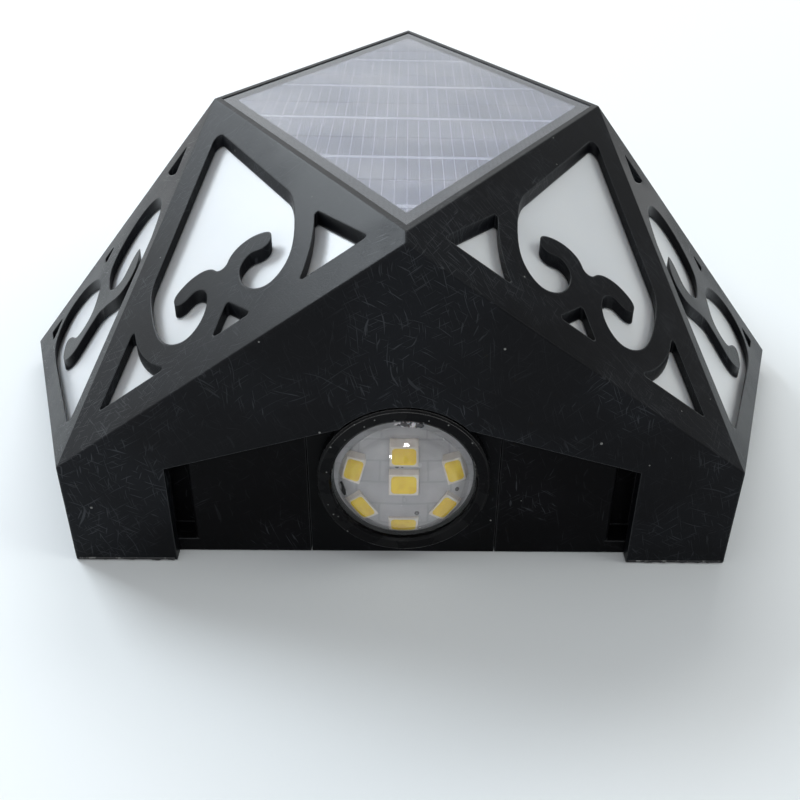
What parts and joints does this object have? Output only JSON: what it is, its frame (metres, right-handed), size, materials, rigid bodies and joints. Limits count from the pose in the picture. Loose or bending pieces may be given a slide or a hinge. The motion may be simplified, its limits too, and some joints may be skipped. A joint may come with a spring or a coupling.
{
  "type": "solar fence light",
  "caption": "Faceted solar fence light with scroll-cut facets over an opal diffuser, a rhombic panel, a domed spot lens and a keyhole back.",
  "frame": {"origin": "centre of the flat back that lies on the fence", "axes": "+Z out of the fence, +Y up along the fence, -Y the end with the spot lens, +X across the widest corners"},
  "size_m": [0.142, 0.1209, 0.0513],
  "materials": {
    "black_plastic": "satin moulded",
    "milky_plastic": "opal, satin",
    "clear_plastic": "polished clear",
    "panel_film": "clear laminate",
    "solar_cell": "polycrystalline cells",
    "panel_board": "glass-fibre board, pale grey mask",
    "foam_tape": "foam tape",
    "rubber": "soft rubber",
    "lamp_board": "grey solder mask",
    "main_board": "green solder mask",
    "lamp_body": "white moulded",
    "phosphor": "yellow phosphor gel",
    "chip_plastic": "matt epoxy",
    "ferrite": "sintered, dull",
    "capacitor_can": "satin can",
    "resistor_ceramic": "ceramic chip",
    "switch_plastic": "moulded",
    "button_plastic": "soft satin",
    "battery_sleeve": "printed film sleeve",
    "nickel": "nickel plated",
    "steel": "zinc plated",
    "red_insulation": "flexible vinyl",
    "black_insulation": "flexible vinyl"
  },
  "bodies": {
    "housing": {"front_shell": "black_plastic", "diffuser": "milky_plastic", "panel_tape": "foam_tape", "solar_board": "panel_board", "solar_cells": "solar_cell", "solar_film": "panel_film", "back_cover": "black_plastic", "spot_holder": "black_plastic", "lens_bezel": "black_plastic", "dome_lens": "clear_plastic", "lens_gasket": "rubber", "spot_board": "lamp_board", "spot_led_bodies": "lamp_body", "spot_led_phosphor": "phosphor", "spot_resistor": "resistor_ceramic", "main_board": "main_board", "glow_led_bodies": "lamp_body", "glow_led_phosphor": "phosphor", "control_chip": "chip_plastic", "inductor": "ferrite", "capacitor": "capacitor_can", "board_resistors": "resistor_ceramic", "switch_body": "switch_plastic", "battery_cell": "battery_sleeve", "battery_caps": "nickel", "battery_tabs": "nickel", "battery_cradle": "black_plastic", "battery_strap": "black_plastic", "back_seal": "rubber", "cover_screws": "steel", "board_screws": "steel", "cradle_screws": "steel", "strap_screws": "steel", "solar_lead_red": "red_insulation", "solar_lead_black": "black_insulation", "battery_lead_red": "red_insulation", "battery_lead_black": "black_insulation", "spot_lead_red": "red_insulation", "spot_lead_black": "black_insulation"},
    "button": {"power_button": "button_plastic", "switch_plunger": "button_plastic"}
  },
  "joints": [
    {"name": "button_press", "type": "slide", "parent": "housing", "child": "button", "axis": [0, 0, 1], "range_m": [0, 0.0008], "stiffness_N_per_m": 300}
  ]
}
